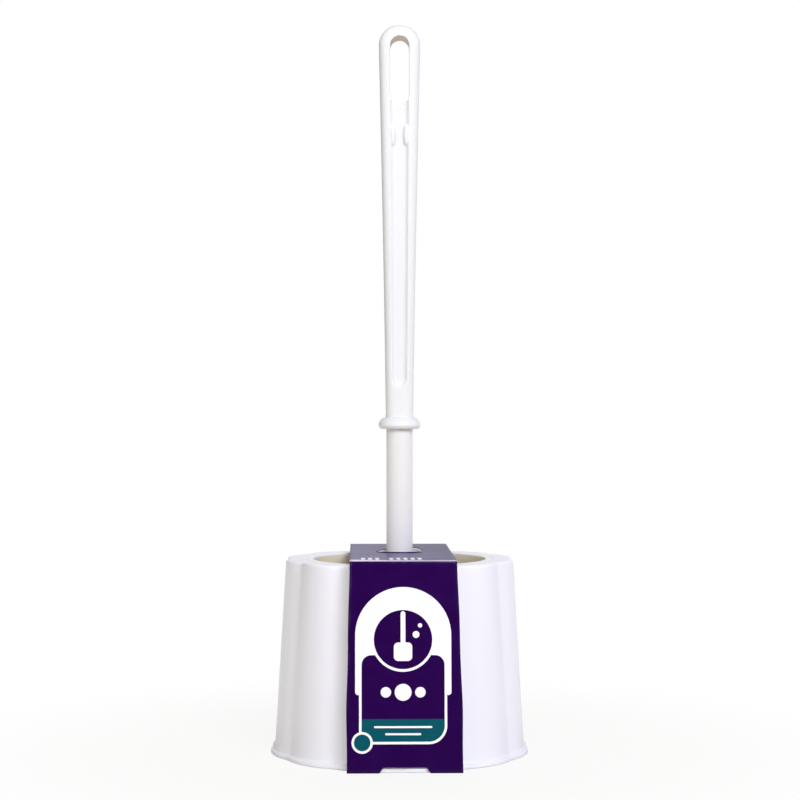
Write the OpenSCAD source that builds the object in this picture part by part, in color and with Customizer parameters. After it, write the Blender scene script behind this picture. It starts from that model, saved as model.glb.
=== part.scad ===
// Toilet brush standing in a lobed plastic holder, with a folded card band over the holder.
// The origin is the centre of the holder's base, on the floor. +Z is up and the front is -Y.
// All sizes are in millimetres.

/* [Holder shell] */
// Height of the shell's flat top above the floor
shell_h = 101.6; // [80:0.1:130]
// Number of moulded lobes around the shell
lobe_count = 12; // [10:1:16]
// Width of the shell's flat top, from its mouth to the lobe crests
rim_land = 13.7; // [12:0.1:24]
// How far the wall flares out from the rim to the foot
foot_flare = 5.7; // [0:0.1:20]
// Depth of the valleys between the lobes at the foot, where they fade
foot_lobe_depth = 1.5; // [0.5:0.1:4]
// Radius of the arc that each lobe follows
lobe_arc_r = 22; // [18:0.5:40]
// How far each side of a valley's middle its rounding reaches, in degrees
valley_round = 2; // [0.5:0.5:4]
// Thickness of the moulded wall
shell_wall = 1.8; // [1.2:0.1:3]
// Radius of the rounded rim edge
rim_fillet = 1.4; // [0.5:0.1:3]
// How far the foot flange stands out from the wall
flange_reach = 2; // [1:0.1:5]
// Thickness of the foot flange
flange_t = 2.3; // [1.5:0.1:4]

/* [Drip cup] */
// Gap between the bristles and the cup's wall at its floor
cup_bristle_gap = 2.6; // [1:0.1:8]
// How much the cup widens from its floor to its mouth
cup_draft = 4.3; // [2:0.1:10]
// Thickness of the cup's wall
cup_wall = 1.4; // [1:0.1:2.5]
// Height of the cup's underside above the floor
cup_lift = 8; // [3:0.5:12]
// Width of the lip that lies in a step around the shell's mouth, flush with its top
cup_lip_w = 1.9; // [1.2:0.1:3]
// Thickness of that lip
cup_lip_t = 0.7; // [0.5:0.1:1]
// Depth of the shell's collar around the cup
mouth_collar_h = 6; // [3:0.5:10]
// Radial gap between the cup and the shell's mouth
cup_gap = 0.2; // [0.1:0.05:0.4]

/* [Handle] */
// Length of the handle, from the collar's underside to its top
handle_l = 214.6; // [150:0.1:280]
// Widest width of the grip, near its top
grip_top_w = 22.1; // [19:0.1:30]
// Depth of the grip, front to back, near its top
grip_top_d = 17.4; // [15:0.1:24]
// Diameter of the grip where it meets the collar
grip_low_d = 14.7; // [13.5:0.1:18]
// Squareness of the grip's section at the collar, where 2 is a true ellipse
grip_low_square = 2.6; // [2:0.1:4]
// Squareness of the grip's section near its top
grip_top_square = 3.8; // [2:0.1:5]
// Diameter of the collar bead at the foot of the grip
collar_d = 22.5; // [20:0.1:30]
// Height of the collar bead
collar_h = 7.1; // [5:0.1:10]
// Width of the hang slot
slot_w = 10.2; // [6:0.1:12]
// Length of the hang slot, end to end
slot_l = 36.5; // [20:0.5:45]
// Material above the hang slot
slot_top_web = 6.5; // [5:0.1:10]
// Depth of the groove on the grip's front and back
groove_depth = 1.8; // [0.4:0.1:2]
// Width of that groove at its top
groove_top_w = 9; // [6:0.1:11]
// Width of that groove at its round lower end
groove_low_w = 7.4; // [4:0.1:9]
// Distance from the collar up to the groove's lower end
groove_foot_gap = 15.2; // [5:0.1:60]

/* [Stem] */
// Diameter of the stem
stem_d = 14; // [11:0.1:17]
// Length of the stem between the head and the collar
stem_l = 78.4; // [60:0.1:140]
// Diameter of the spigots at the two ends of the stem
spigot_d = 9; // [6:0.1:10]
// Length of the spigot in the handle
spigot_up_l = 30; // [15:1:40]
// Length of the spigot in the head
spigot_down_l = 20; // [10:1:24]
// Radial gap around the pressed spigots
spigot_gap = 0.05; // [0.02:0.01:0.1]

/* [Brush head] */
// Diameter of the moulded core that holds the tufts
core_d = 24; // [21:0.5:30]
// Length of the core, from its round tip to the stem
core_l = 64; // [50:0.5:76]
// Outside radius of the bristles
bristle_r = 39; // [30:0.5:50]
// Length of the bristles below the core's tip
end_bristle_l = 18.2; // [12:0.1:24]
// Gap between the lowest bristles and the cup's floor
bristle_floor_gap = 0.4; // [0.3:0.1:2]
// Number of tufts in each ring around the core
ring_tufts = 12; // [10:1:13]
// Number of rings along the core
ring_count = 7; // [4:1:8]
// Diameter of a tuft hole
tuft_hole_d = 3.4; // [2.4:0.1:4.2]
// Least wall between the bottoms of neighbouring tuft holes
hole_web = 0.27; // [0.15:0.01:0.5]
// Diameter of a side tuft at its splayed end
tuft_tip_d = 6; // [4:0.1:6.4]
// Thickness of the flat wire anchor in each hole
anchor_t = 0.4; // [0.3:0.05:0.8]
// Height of that anchor along the hole
anchor_l = 1.8; // [1:0.1:2.5]

/* [Card band] */
// Thickness of the card
card_t = 0.5; // [0.3:0.05:1]
// Gap between the rim and the card's top panel
card_head_gap = 2.8; // [0.5:0.1:12]
// Width of the card at its top folds
card_top_w = 54; // [40:0.1:60]
// Width of the card at its lower edge
card_low_w = 58; // [44:0.1:70]
// Height up to which the card keeps its lower width
card_straight_h = 30; // [5:0.5:70]
// Height of the card's lower edge above the floor
card_low_z = 0.2; // [0:0.1:4]
// Gap between the card and the shell's rim
card_gap = 0.4; // [0.3:0.1:3]
// Gap between the card's lower edge and the foot flange
card_foot_gap = 1.6; // [0.5:0.1:4]
// Turn of the band on the holder, in degrees
card_yaw = 1.3; // [0:0.1:3]
// Sideways shift of the card's centre line from the stem
card_shift = 1.2; // [-2:0.1:2]
// Width of the thumb notch in the lower edge
notch_w = 26; // [16:0.5:30]
// Height of that notch
notch_h = 2.9; // [1:0.1:5]
// Width of the slit around the stem
slit_w = 25.6; // [22:0.1:36]
// Gap between the stem and the slit's long sides
slit_gap = 0.6; // [0.3:0.1:2]

/* [Hidden] */

// Cup and mouth
cup_floor_r = bristle_r + cup_bristle_gap;
cup_mouth_r = cup_floor_r + cup_draft;
mouth_r = cup_mouth_r + cup_wall + cup_gap;
cup_floor_z = cup_lift + cup_wall;
cup_corner_r = 6;

// Lobed wall
rim_crest_r = mouth_r + rim_land;
foot_crest_r = rim_crest_r + foot_flare;
lobe_steps = 12;
half_lobe = 180 / lobe_count;
edge_round = 0.6;
fillet_steps = 5;
rim_z = shell_h - rim_fillet;
rim_lobe_depth = rim_crest_r - lobe_arc(half_lobe - valley_round);
lip_r = cup_mouth_r + cup_wall + cup_gap + cup_lip_w;
lip_seat_z = shell_h - cup_lip_t;

// Head
core_r = core_d / 2;
lowest_bristle_z = cup_floor_z + bristle_floor_gap;
core_tip_z = lowest_bristle_z + end_bristle_l;
core_top_z = core_tip_z + core_l;
core_ball_z = core_tip_z + core_r;
core_shoulder_h = 6;
core_shoulder_z = core_top_z - core_shoulder_h;
first_ring_z = core_ball_z + 1;
last_ring_z = core_shoulder_z - 3;
ring_pitch = (last_ring_z - first_ring_z) / (ring_count - 1);
tuft_base_r = ring_tufts * (tuft_hole_d + hole_web) / (2 * PI);
tuft_gap = 0.05;
tuft_splay = (tuft_tip_d - tuft_hole_d) / (bristle_r - core_r);
end_tilt = 360 / ring_tufts;
end_reach = core_ball_z - lowest_bristle_z;
// Each end row is [angle off the core's axis, number of tufts, reach from the ball's centre]
end_rows = [
    [2 * end_tilt, floor(ring_tufts * sin(2 * end_tilt)), end_reach + 5],
    [end_tilt, floor(ring_tufts * sin(end_tilt) + 0.01), end_reach + 1.5],
    [0, 1, end_reach]
];

// Grip
collar_z = core_top_z + stem_l;
handle_top = collar_z + handle_l;
collar_top = collar_z + collar_h;
grip_shoulder_z = handle_top - 10.5;
slot_end_z = handle_top - slot_top_web;
slot_low_z = slot_end_z - slot_l;
groove_top_z = slot_low_z + 1;
groove_low_z = collar_top + groove_foot_gap + groove_low_w / 2;
seat_depth = 1.5;
seat_z = collar_z + seat_depth;

// Card
card_top_z = shell_h + card_head_gap + card_t;
rim_reach = (rim_crest_r - lobe_arc_r) * cos(half_lobe - card_yaw) + lobe_arc_r;
card_foot_y = foot_crest_r - foot_lobe_depth + flange_reach + card_foot_gap;
card_slope = (card_foot_y - rim_reach - card_gap) / rim_z;
card_fold_y = rim_reach + card_gap - card_slope * (card_top_z - rim_z);
slit_half_d = stem_d / 2 + slit_gap;
slit_arc_r = (pow(slit_w / 2, 2) + pow(slit_half_d, 2)) / (2 * slit_half_d);

// Distance from the axis to a lobe's arc, at an angle from the lobe's crest
function lobe_arc(phi) =
    let (centre = rim_crest_r - lobe_arc_r)
    centre * cos(phi) + sqrt(pow(lobe_arc_r, 2) - pow(centre * sin(phi), 2));

// Height of the lobe outline at an angle: 0 in a valley and 1 on a crest
function lobe_wave(angle) =
    let (turn = angle / (2 * half_lobe),
         from_valley = half_lobe - abs(turn - floor(turn) - 0.5) * 2 * half_lobe)
    1 - (rim_crest_r - lobe_arc(half_lobe - norm([from_valley, valley_round]))) / rim_lobe_depth;

// Radius of the shell's wall at an angle and a height
function wall_r(angle, z) =
    let (up = z / rim_z,
         crest = foot_crest_r + (rim_crest_r - foot_crest_r) * up,
         depth = foot_lobe_depth + (rim_lobe_depth - foot_lobe_depth) * up)
    crest - depth * (1 - lobe_wave(angle));

// One closed skin swept around the axis: rows is a list of rings of points
module swept_loop(rows) {
    n = len(rows[0]);
    m = len(rows);
    points = [for (row = rows) each row];
    faces = [
        for (j = [0:m - 1], i = [0:n - 1])
            let (a = j * n + i,
                 b = j * n + (i + 1) % n,
                 c = ((j + 1) % m) * n + (i + 1) % n,
                 d = ((j + 1) % m) * n + i)
            each [[a, c, b], [a, d, c]]
    ];
    polyhedron(points = points, faces = faces, convexity = 8);
}

// A closed column of stacked rings with flat ends
module stacked_rings(rows) {
    n = len(rows[0]);
    m = len(rows);
    points = [for (row = rows) each row];
    sides = [
        for (j = [0:m - 2], i = [0:n - 1])
            let (a = j * n + i,
                 b = j * n + (i + 1) % n,
                 c = (j + 1) * n + (i + 1) % n,
                 d = (j + 1) * n + i)
            each [[a, c, b], [a, d, c]]
    ];
    low = [for (i = [0:n - 1]) i];
    high = [for (i = [n - 1:-1:0]) (m - 1) * n + i];
    polyhedron(points = points, faces = concat(sides, [low, high]), convexity = 4);
}

// A slot cutter along Y: two round ends joined by a flat stretch
module slot_cutter(width, z_low, z_high, depth) {
    for (z = [z_low + width / 2, z_high - width / 2])
        translate([0, 0, z]) rotate([90, 0, 0]) cylinder(d = width, h = depth, center = true, $fn = 48);
    translate([-width / 2, -depth / 2, z_low + width / 2])
        cube([width, depth, z_high - z_low - width]);
}

// Outer skirt of the holder: lobed, tapered, open below, with a flat top and a round mouth
module outer_shell() {
    // Each entry is [height, distance outside the wall], or [height, fixed radius, true]
    profile = concat(
        [
            [0, flange_reach - edge_round],
            [edge_round, flange_reach],
            [flange_t - edge_round, flange_reach],
            [flange_t, flange_reach - edge_round],
            [flange_t, edge_round],
            [flange_t + edge_round, 0]
        ],
        [
            for (k = [0:fillet_steps])
                let (a = 90 * k / fillet_steps)
                [rim_z + rim_fillet * sin(a), -rim_fillet * (1 - cos(a))]
        ],
        [
            [shell_h, mouth_r - 2, true],
            [shell_h - mouth_collar_h, mouth_r - 2, true],
            [shell_h - mouth_collar_h, mouth_r + shell_wall, true],
            [shell_h - shell_wall, mouth_r + shell_wall, true],
            [shell_h - shell_wall, -shell_wall - rim_fillet / 2],
            [shell_h - shell_wall - rim_fillet / 2, -shell_wall],
            [0, -shell_wall]
        ]
    );
    n = lobe_count * lobe_steps;
    color("whitesmoke") difference() {
        swept_loop([
            for (p = profile) [
                for (i = [0:n - 1])
                    let (angle = 360 * i / n,
                         r = p[2] ? p[1] : wall_r(angle, min(p[0], rim_z)) + p[1])
                    [r * cos(angle), r * sin(angle), p[0]]
            ]
        ]);
        translate([0, 0, shell_h - mouth_collar_h - 1])
            cylinder(r = mouth_r, h = mouth_collar_h + 2, $fn = 96);
        translate([0, 0, lip_seat_z]) cylinder(r = lip_r + cup_gap, h = cup_lip_t + 1, $fn = 96);
    }
}

// Drip cup that hangs by its lip in the shell's mouth and holds the brush head
module drip_cup() {
    r_out = cup_mouth_r + cup_wall;
    straight_z = shell_h - mouth_collar_h;
    arc = [for (a = [0:15:90]) [sin(a), 1 - cos(a)]];
    outer_corner = cup_corner_r + cup_wall;
    color("seashell") rotate_extrude($fn = 96) polygon(concat(
        [[0, cup_lift]],
        [for (p = arc) [cup_floor_r + cup_wall - outer_corner + outer_corner * p[0],
                        cup_lift + outer_corner * p[1]]],
        [
            [r_out, straight_z],
            [r_out, lip_seat_z],
            [lip_r, lip_seat_z],
            [lip_r, shell_h - cup_lip_t / 3],
            [lip_r - cup_lip_t / 3, shell_h],
            [cup_mouth_r + cup_lip_t / 2, shell_h],
            [cup_mouth_r, shell_h - cup_lip_t / 2],
            [cup_mouth_r, straight_z]
        ],
        [for (i = [len(arc) - 1:-1:0]) [cup_floor_r - cup_corner_r + cup_corner_r * arc[i][0],
                                        cup_floor_z + cup_corner_r * arc[i][1]]],
        [[0, cup_floor_z]]
    ));
}

// Printed card folded over the holder: front panel, top panel with a slit, and back panel
module card_band() {
    function inner_y(z) = card_fold_y + card_slope * (card_top_z - z);
    low_y = inner_y(card_low_z);
    notch_side = 2.5;
    color("indigo") rotate([0, 0, card_yaw]) difference() {
        translate([card_shift, 0, 0]) intersection() {
            // The folded strip seen from the side
            rotate([90, 0, 90]) linear_extrude(card_low_w, center = true) polygon([
                [-low_y, card_low_z],
                [-card_fold_y, card_top_z - card_t],
                [card_fold_y, card_top_z - card_t],
                [low_y, card_low_z],
                [low_y + card_t, card_low_z],
                [card_fold_y + card_t, card_top_z - card_t / 2],
                [card_fold_y + card_t / 2, card_top_z],
                [-card_fold_y - card_t / 2, card_top_z],
                [-card_fold_y - card_t, card_top_z - card_t / 2],
                [-low_y - card_t, card_low_z]
            ]);
            // The strip's outline seen from the front, with the notch in its lower edge
            rotate([90, 0, 0]) linear_extrude(4 * card_foot_y, center = true) polygon([
                [-card_top_w / 2, card_top_z + 1],
                [-card_top_w / 2, card_top_z],
                [-card_low_w / 2, card_straight_h],
                [-card_low_w / 2, card_low_z],
                [-notch_w / 2, card_low_z],
                [-notch_w / 2 + notch_side, card_low_z + notch_h],
                [notch_w / 2 - notch_side, card_low_z + notch_h],
                [notch_w / 2, card_low_z],
                [card_low_w / 2, card_low_z],
                [card_low_w / 2, card_straight_h],
                [card_top_w / 2, card_top_z],
                [card_top_w / 2, card_top_z + 1]
            ]);
        }
        translate([0, 0, card_top_z - 2]) intersection_for (side = [-1, 1])
            translate([0, side * (slit_arc_r - slit_half_d), 0])
                cylinder(r = slit_arc_r, h = 4, $fn = 64);
    }
}

// Moulded grip with its hang slot, the grooves on both faces and the collar bead
module handle() {
    n = 48;
    crown_steps = 6;
    crown_turn = 84;
    crown_h = handle_top - grip_shoulder_z;
    function ring(w, d, z, square) = [
        for (i = [0:n - 1])
            let (a = 360 * i / n, p = 2 / square)
            [w / 2 * sign(cos(a)) * pow(abs(cos(a)), p),
             d / 2 * sign(sin(a)) * pow(abs(sin(a)), p), z]
    ];
    body_rows = [
        for (k = [0:4])
            let (t = k / 4)
            ring(grip_low_d + (grip_top_w - grip_low_d) * pow(t, 1.25),
                 grip_low_d + (grip_top_d - grip_low_d) * t,
                 collar_top - 2 + (grip_shoulder_z - collar_top + 2) * t,
                 grip_low_square + (grip_top_square - grip_low_square) * sqrt(t))
    ];
    crown_rows = [
        for (k = [1:crown_steps])
            let (a = crown_turn * k / crown_steps)
            ring(grip_top_w * cos(a), (grip_top_d - 2 * edge_round) * pow(cos(a), 0.6),
                 grip_shoulder_z + crown_h * sin(a) / sin(crown_turn), grip_top_square)
    ];
    color("white") difference() {
        union() {
            stacked_rings(concat(body_rows, crown_rows));
            collar_bead();
        }
        slot_cutter(slot_w, slot_low_z, slot_end_z, 2 * grip_top_d);
        for (side = [-1, 1]) grip_groove(side);
        translate([0, 0, collar_z - 1])
            cylinder(d = stem_d + 2 * spigot_gap, h = seat_depth + 1, $fn = 64);
        translate([0, 0, collar_z])
            cylinder(d = spigot_d + 2 * spigot_gap, h = seat_depth + spigot_up_l + 0.5, $fn = 48);
    }
}

// Domed bead under the grip, with a flatter and sharper underside
module collar_bead() {
    r = collar_d / 2;
    widest = 2.6;
    crown = collar_h - widest;
    color("white") translate([0, 0, collar_z]) rotate_extrude($fn = 64) polygon(concat(
        [[0, 0], [r - 2.6, 0], [r - 0.5, widest - 1]],
        [for (a = [0:15:75]) [grip_low_d / 2 - 1 + (r - grip_low_d / 2 + 1) * cos(a),
                              widest + crown * sin(a)]],
        [[0, collar_h - 0.2]]
    ));
}

// Long shallow groove, narrowing downwards, cut into one face of the grip
module grip_groove(side) {
    top_y = grip_top_d / 2 - groove_depth;
    low_y = grip_low_d / 2 - groove_depth + 0.2;
    hull() {
        translate([0, side * (top_y + 5), groove_top_z]) rotate([90, 0, 0])
            cylinder(d = groove_top_w, h = 10, center = true, $fn = 32);
        translate([0, side * (low_y + 5), groove_low_z]) rotate([90, 0, 0])
            cylinder(d = groove_low_w, h = 10, center = true, $fn = 32);
    }
}

// Round stem with a spigot at each end, pressed into the handle and into the head
module stem() {
    color("ghostwhite") {
        translate([0, 0, core_top_z]) cylinder(d = stem_d, h = seat_z - core_top_z, $fn = 64);
        translate([0, 0, core_top_z - spigot_down_l])
            cylinder(d = spigot_d, h = spigot_down_l + seat_z - core_top_z + spigot_up_l, $fn = 48);
    }
}

// Puts its children along one tuft's axis, from the core's axis or ball centre outwards
module at_ring_tufts(ring) {
    for (i = [0:ring_tufts - 1])
        translate([0, 0, first_ring_z + (ring - 1) * ring_pitch])
            rotate([0, 90, (i + (ring % 2) / 2) * 360 / ring_tufts]) children();
}

module at_end_tufts(row) {
    for (i = [0:row[1] - 1])
        translate([0, 0, core_ball_z])
            rotate([180 - row[0], 0, (i + 0.5) * 360 / row[1]]) children();
}

// Moulded core with a round tip, a tapered shoulder and one blind hole for each tuft
module head_core() {
    color("whitesmoke") difference() {
        rotate_extrude($fn = 64) polygon(concat(
            [for (a = [0:15:90]) [core_r * sin(a), core_ball_z - core_r * cos(a)]],
            [
                [core_r, core_shoulder_z],
                [stem_d / 2 + 0.5, core_top_z - 0.5],
                [stem_d / 2, core_top_z],
                [0, core_top_z]
            ]
        ));
        translate([0, 0, core_top_z - spigot_down_l - 0.5])
            cylinder(d = spigot_d + 2 * spigot_gap, h = spigot_down_l + 1, $fn = 48);
        for (ring = [1:ring_count]) at_ring_tufts(ring) tuft_hole();
        for (row = end_rows) at_end_tufts(row) tuft_hole();
    }
}

module tuft_hole() {
    translate([0, 0, tuft_base_r]) cylinder(d = tuft_hole_d, h = core_r - tuft_base_r + 1, $fn = 16);
}

// One tuft: a straight plug in its hole, splaying outwards, slotted for its anchor
module tuft(reach, tip_d) {
    plug_r = tuft_hole_d / 2 - tuft_gap;
    difference() {
        rotate_extrude($fn = 16) polygon([
            [0, tuft_base_r], [plug_r, tuft_base_r], [plug_r, core_r + 0.2], [tip_d / 2, reach], [0, reach]
        ]);
        anchor(tuft_gap);
    }
}

// Flat wire anchor that pins a folded tuft to the bottom of its hole
module anchor(gap) {
    translate([0, 0, tuft_base_r + anchor_l / 2])
        cube([tuft_hole_d + gap, anchor_t + 2 * gap, anchor_l + 2 * gap], center = true);
}

module tufts_ring(ring) {
    color("white") at_ring_tufts(ring) tuft(bristle_r, tuft_tip_d);
}

module tufts_end(row) {
    color("white") at_end_tufts(row)
        tuft(row[2], tuft_hole_d + tuft_splay * (row[2] - core_r));
}

// All the anchors, one in each tuft
module tuft_anchors() {
    color("silver") {
        for (ring = [1:ring_count]) at_ring_tufts(ring) anchor(-tuft_gap);
        for (row = end_rows) at_end_tufts(row) anchor(-tuft_gap);
    }
}

outer_shell();
drip_cup();
card_band();
handle();
stem();
head_core();
for (i = [1:ring_count])
    tufts_ring(i);
tufts_end(end_rows[0]);  // tufts_end_outer
union() {  // tufts_end_inner
    tufts_end(end_rows[1]);
    tufts_end(end_rows[2]);
}
tuft_anchors();
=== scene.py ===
"""Toilet brush in its holder, with a folded card band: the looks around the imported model."""
import math
import random

import bmesh
import bpy
from mathutils import Matrix, Vector


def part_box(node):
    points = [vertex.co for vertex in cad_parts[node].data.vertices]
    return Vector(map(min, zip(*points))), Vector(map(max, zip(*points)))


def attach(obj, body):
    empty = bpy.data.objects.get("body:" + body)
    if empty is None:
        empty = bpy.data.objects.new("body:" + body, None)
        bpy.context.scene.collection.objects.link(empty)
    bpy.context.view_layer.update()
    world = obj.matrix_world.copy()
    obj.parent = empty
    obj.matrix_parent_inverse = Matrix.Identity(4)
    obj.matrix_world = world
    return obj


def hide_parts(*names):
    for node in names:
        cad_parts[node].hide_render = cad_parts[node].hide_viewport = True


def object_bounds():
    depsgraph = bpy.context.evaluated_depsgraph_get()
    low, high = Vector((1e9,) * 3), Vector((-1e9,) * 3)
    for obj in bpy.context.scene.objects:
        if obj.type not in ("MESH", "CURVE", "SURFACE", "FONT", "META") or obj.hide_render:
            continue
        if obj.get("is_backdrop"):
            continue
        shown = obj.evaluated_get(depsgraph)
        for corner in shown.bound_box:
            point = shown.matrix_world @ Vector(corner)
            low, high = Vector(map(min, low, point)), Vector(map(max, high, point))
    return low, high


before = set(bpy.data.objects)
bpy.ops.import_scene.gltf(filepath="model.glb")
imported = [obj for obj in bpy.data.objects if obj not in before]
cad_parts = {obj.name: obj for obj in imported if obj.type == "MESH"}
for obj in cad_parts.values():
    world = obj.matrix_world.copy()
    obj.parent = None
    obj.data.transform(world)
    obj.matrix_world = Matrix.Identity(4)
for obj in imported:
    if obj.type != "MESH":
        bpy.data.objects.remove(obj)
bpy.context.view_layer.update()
MM = 0.001


# ---------------------------------------------------------------------------
# Drip cup. A deep satin liner, moulded in white, painted a warm tan below its lip as painted
# shade inside the cup, with its lip painted paler as painted light on its top. It drops
# into the shell's mouth and hangs there by the lip. The brush head stands in it.

class Socket:
    """One output of a shader node. Arithmetic on it adds Math nodes to its tree."""

    def __init__(self, tree, output=None):
        self.tree = tree
        self.output = output

    def node(self, kind, settings, inputs, output=0):
        """Adds a node, with its settings first and then the value or link of each socket."""
        made = self.tree.nodes.new(kind)
        for name, value in settings.items():
            setattr(made, name, value)
        for name, value in inputs.items():
            if isinstance(value, Socket):
                self.tree.links.new(value.output, made.inputs[name])
            else:
                made.inputs[name].default_value = value
        return Socket(self.tree, made.outputs[output])

    def maths(self, operation, first, second=0.0):
        """A Math node on one or two values."""
        return self.node("ShaderNodeMath", {"operation": operation}, {0: first, 1: second})

    def __add__(self, other):
        return self.maths("ADD", self, other)

    def __sub__(self, other):
        return self.maths("SUBTRACT", self, other)

    def __rsub__(self, other):
        return self.maths("SUBTRACT", other, self)

    def __mul__(self, other):
        return self.maths("MULTIPLY", self, other)

    def __abs__(self):
        return self.maths("ABSOLUTE", self)

    __radd__ = __add__
    __rmul__ = __mul__


def mixed(factor, below, above):
    """A colour between two others."""
    return factor.node("ShaderNodeMix", {"data_type": "RGBA"},
                       {"Factor": factor, "A": below, "B": above}, "Result")


def noise(place, scale, detail):
    """A cloudy value that varies over places."""
    return place.node("ShaderNodeTexNoise", {}, {"Vector": place, "Scale": scale, "Detail": detail})


def stretched(place, factors):
    """Places scaled along each axis, so that a noise over them is drawn out."""
    return place.node("ShaderNodeVectorMath", {"operation": "MULTIPLY"}, {0: place, 1: factors})


def part_of(place, axis):
    """One coordinate of a place."""
    return place.node("ShaderNodeSeparateXYZ", {}, {"Vector": place}, axis)


def rising(value, start, end, low=0.0, high=1.0):
    """A smooth step from low to high as a value goes from start to end."""
    return value.node("ShaderNodeMapRange", {"interpolation_type": "SMOOTHSTEP"}, {
        "Value": value, "From Min": start, "From Max": end, "To Min": low, "To Max": high})


def paint(hex_colour):
    """A web colour as the linear numbers that a shader takes."""
    channels = [int(hex_colour[i:i + 2], 16) / 255 for i in (0, 2, 4)]
    linear = [c / 12.92 if c < 0.04045 else ((c + 0.055) / 1.055) ** 2.4 for c in channels]
    return (*linear, 1.0)


def finish(name, **constants):
    """A new material: its first socket wrapper and its Principled shader."""
    made = bpy.data.materials.new(name)
    made.use_nodes = True
    shader = made.node_tree.nodes["Principled BSDF"]
    for socket, value in constants.items():
        shader.inputs[socket.replace("_", " ")].default_value = value
    return made, Socket(made.node_tree), shader


def feed(tree, shader, **links):
    """Links varying values to the Principled shader's sockets."""
    for socket, value in links.items():
        tree.tree.links.new(value.output, shader.inputs[socket.replace("_", " ")])


def moulded(name, colour, shade, roughness, grain=0.35, flow=(18, 18, 5), rim=None, shine=0.5):
    """Injection-moulded plastic: cloudy tone, slow ripples from the flow, and a fine tool grain.

    A rim (colour, low, high) changes the colour with height, from low to high; it paints light on upper
    faces and shade below them.
    """
    made, tree, shader = finish(
        name, IOR=1.5, Specular_IOR_Level=shine, Coat_Weight=shine * 0.24, Coat_Roughness=0.12)
    place = tree.node("ShaderNodeTexCoord", {}, {}, "Object")
    cloud = noise(stretched(place, flow), 1.0, 3.0)
    specks = noise(place, 1400.0, 2.0)
    tone = mixed(cloud, paint(shade), paint(colour))
    # The rim colour is painted light on the upper faces.
    if rim:
        rim_colour, low, high = rim
        share = rising(part_of(place, "Z"), low * MM, high * MM)
        tone = mixed(share, tone, paint(rim_colour))
    feed(tree, shader, Base_Color=tone, Roughness=cloud * 0.12 + specks * 0.06 + (roughness - 0.09))
    relief = cloud * 0.6 + specks * 0.02
    feed(tree, shader, Normal=tree.node(
        "ShaderNodeBump", {}, {"Strength": grain, "Distance": 0.4 * MM, "Height": relief}))
    return made


def rounded(corners, steps=6):
    """An outline through corners (across, up, radius), with an arc at each corner that has a radius."""
    outline = []
    for i, (across, up, radius) in enumerate(corners):
        here = Vector((across, up))
        if not radius:
            outline.append(here)
            continue
        back = (Vector(corners[i - 1][:2]) - here).normalized()
        ahead = (Vector(corners[(i + 1) % len(corners)][:2]) - here).normalized()
        half = back.angle(ahead) / 2
        centre = here + (back + ahead).normalized() * radius / math.sin(half)
        reach = radius / math.tan(half)
        start, end = here + back * reach - centre, here + ahead * reach - centre
        for k in range(steps + 1):
            outline.append(centre + start.lerp(end, k / steps).normalized() * radius)
    return outline


def piece_from(name, points, faces, material, body, *stands_for):
    """A smooth mesh from points in millimetres, riding on its body in place of CAD nodes."""
    mesh = bpy.data.meshes.new(name)
    mesh.from_pydata([Vector(p) * MM for p in points], [], faces)
    shape = bmesh.new()
    shape.from_mesh(mesh)
    bmesh.ops.remove_doubles(shape, verts=shape.verts, dist=0.0005 * MM)
    bmesh.ops.dissolve_degenerate(shape, edges=shape.edges, dist=0.0001 * MM)
    bmesh.ops.recalc_face_normals(shape, faces=shape.faces)
    shape.to_mesh(mesh)
    shape.free()
    mesh.shade_smooth()
    mesh.materials.append(material)
    piece = bpy.data.objects.new(name, mesh)
    bpy.context.scene.collection.objects.link(piece)
    if body:
        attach(piece, body)
    if stands_for:
        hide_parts(*stands_for)
    return piece


def loops_joined(loops, closed=True):
    """Points and faces of a skin over rings of equally many points."""
    count = len(loops[0])
    points = [p for loop in loops for p in loop]
    faces = []
    for j in range(len(loops) if closed else len(loops) - 1):
        here, ahead = j * count, (j + 1) % len(loops) * count
        for i in range(count):
            nearby = (i + 1) % count
            faces.append((here + i, here + nearby, ahead + nearby, ahead + i))
    return points, faces


def turned(profile, segments=160):
    """Points and faces of a profile of (radius, height) turned about the upright axis."""
    loops = []
    for radius, up in profile:
        angles = [math.tau * i / segments for i in range(segments)]
        loops.append([(radius * math.cos(a), radius * math.sin(a), up) for a in angles])
    return loops_joined(loops)


cup_low, cup_high = (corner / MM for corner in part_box("drip_cup"))
shell_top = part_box("outer_shell")[1].z / MM
CUP_WALL = 1.4
CUP_GAP = 0.2
CUP_CORNER = 6
CUP_FLOOR_R = 41.6
COLLAR_H = 6
LIP_W = 1.9
LIP_T = 0.7
LIP_ROUND = 0.25
MOUTH_ROUND = 0.35
NECK_ROUND = 0.8
lip_r = cup_high.x
lip_seat_z = shell_top - LIP_T
cup_outer_r = lip_r - LIP_W - CUP_GAP
cup_inner_r = cup_outer_r - CUP_WALL
cup_profile = rounded([
    (0, cup_low.z, 0),
    (CUP_FLOOR_R + CUP_WALL, cup_low.z, CUP_CORNER + CUP_WALL),
    (cup_outer_r, shell_top - COLLAR_H, NECK_ROUND),
    (cup_outer_r, lip_seat_z, 0),
    (lip_r, lip_seat_z, 0),
    (lip_r, shell_top, LIP_ROUND),
    (cup_inner_r, shell_top, MOUTH_ROUND),
    (cup_inner_r, shell_top - COLLAR_H, NECK_ROUND),
    (CUP_FLOOR_R, cup_low.z + CUP_WALL, CUP_CORNER),
    (0, cup_low.z + CUP_WALL, 0),
])
# The tan below the lip is painted shade inside the cup; the paler lip colour is painted light on its top.
liner_painted_shade_plastic = moulded(
    "liner_with_painted_shade", "f6eedb", "ebdfc5", 0.42, rim=("fbfafc", shell_top - 1.6, shell_top - 0.3))
cup = piece_from("cup_liner", *turned(cup_profile), liner_painted_shade_plastic, "holder", "drip_cup")


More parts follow.
